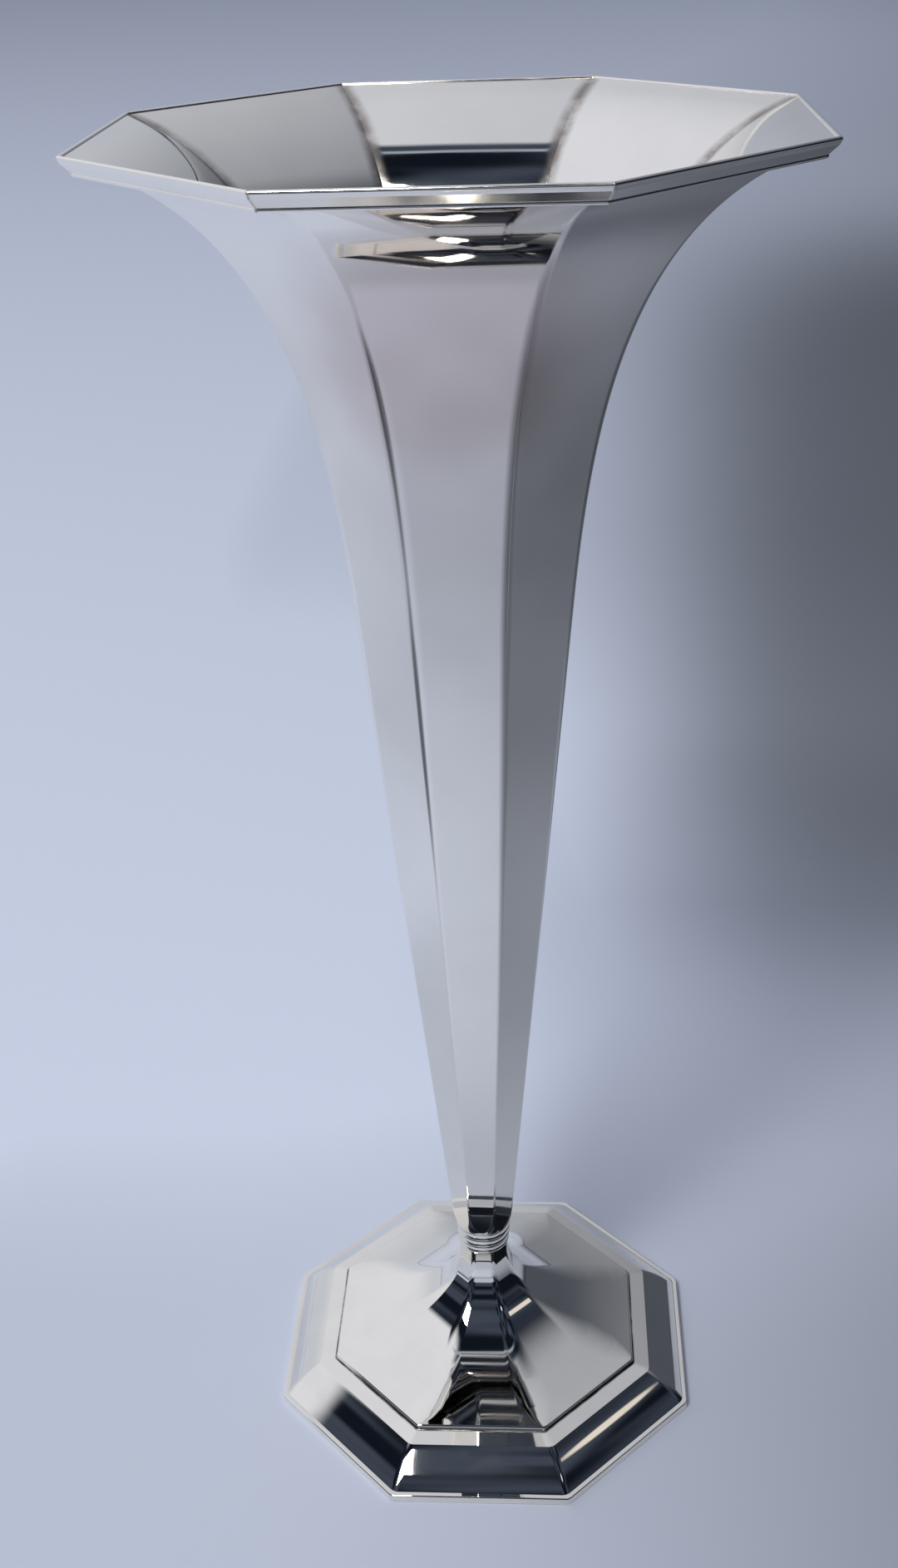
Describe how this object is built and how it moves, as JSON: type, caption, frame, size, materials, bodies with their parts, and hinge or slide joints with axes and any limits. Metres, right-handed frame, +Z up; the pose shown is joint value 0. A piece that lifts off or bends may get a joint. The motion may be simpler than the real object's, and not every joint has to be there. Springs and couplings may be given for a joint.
{
  "type": "trumpet vase",
  "caption": "Tall polished-silver trumpet vase with a faceted, flared body, a moulded rim, a reeded collar and a stepped, domed foot.",
  "frame": {"origin": "middle of the face that the vase stands on", "axes": "+Z up along the vase's axis, -Y out of the front flat, +X to the right seen from the front"},
  "size_m": [0.1762, 0.1762, 0.406],
  "materials": {
    "body_silver": "polished, with light tarnish along the seams",
    "rim_silver": "polished, slightly worn",
    "collar_silver": "polished, darker between the reeds",
    "foot_silver": "polished, with light tarnish in the corners"
  },
  "bodies": {
    "root": {"panel_front": "body_silver", "panel_front_right": "body_silver", "panel_right": "body_silver", "panel_back_right": "body_silver", "panel_back": "body_silver", "panel_back_left": "body_silver", "panel_left": "body_silver", "panel_front_left": "body_silver", "rim_strip_front": "rim_silver", "rim_strip_front_right": "rim_silver", "rim_strip_right": "rim_silver", "rim_strip_back_right": "rim_silver", "rim_strip_back": "rim_silver", "rim_strip_back_left": "rim_silver", "rim_strip_left": "rim_silver", "rim_strip_front_left": "rim_silver", "body_cup": "body_silver", "collar": "collar_silver", "foot": "foot_silver", "base_band": "foot_silver"}
  },
  "joints": []
}
